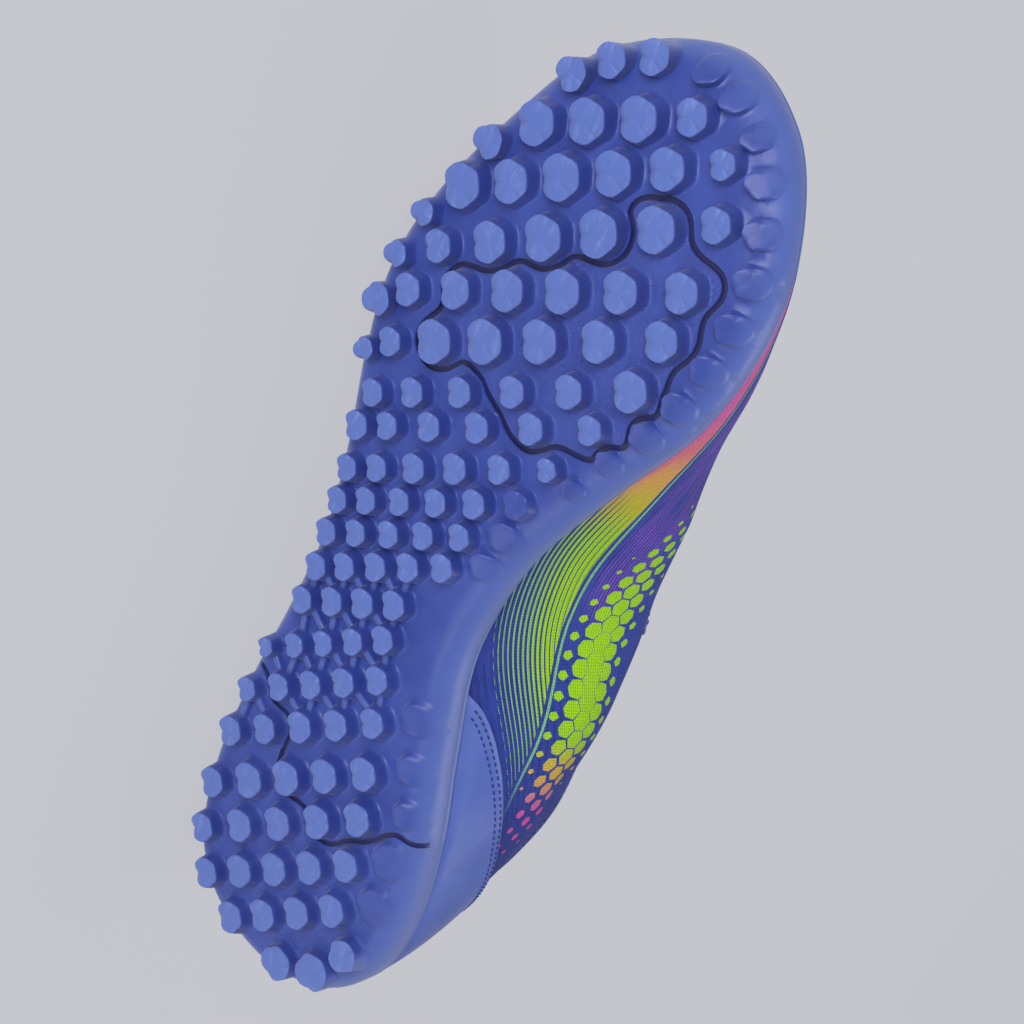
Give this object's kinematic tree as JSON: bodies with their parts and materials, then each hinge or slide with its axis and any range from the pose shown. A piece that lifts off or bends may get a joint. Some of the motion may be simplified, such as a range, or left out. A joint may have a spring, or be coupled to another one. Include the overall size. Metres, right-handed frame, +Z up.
{
  "type": "turf shoe",
  "caption": "Low-cut right turf shoe lying on its side, with a studded rubber sole, knitted upper and laced throat.",
  "frame": {"origin": "centre of the lying shoe's bounding box in plan, on the floor", "axes": "+X from the toe towards the heel, +Y from the tread towards the collar, +Z up, from the shoe's lateral side to its medial side"},
  "size_m": [0.2852, 0.091, 0.1044],
  "materials": {
    "rubber": "satin moulded rubber",
    "knit": "fine knit with a printed coating",
    "coated_panel": "smooth satin synthetic",
    "lining": "matt textile",
    "braid": "flat woven braid"
  },
  "bodies": {
    "root": {"outsole": "rubber", "upper": "knit", "heel_counter": "coated_panel", "collar_binding": "lining", "tongue": "lining", "insole": "lining", "eyestay_medial": "coated_panel", "eyestay_lateral": "coated_panel", "laces": "braid"}
  },
  "joints": []
}
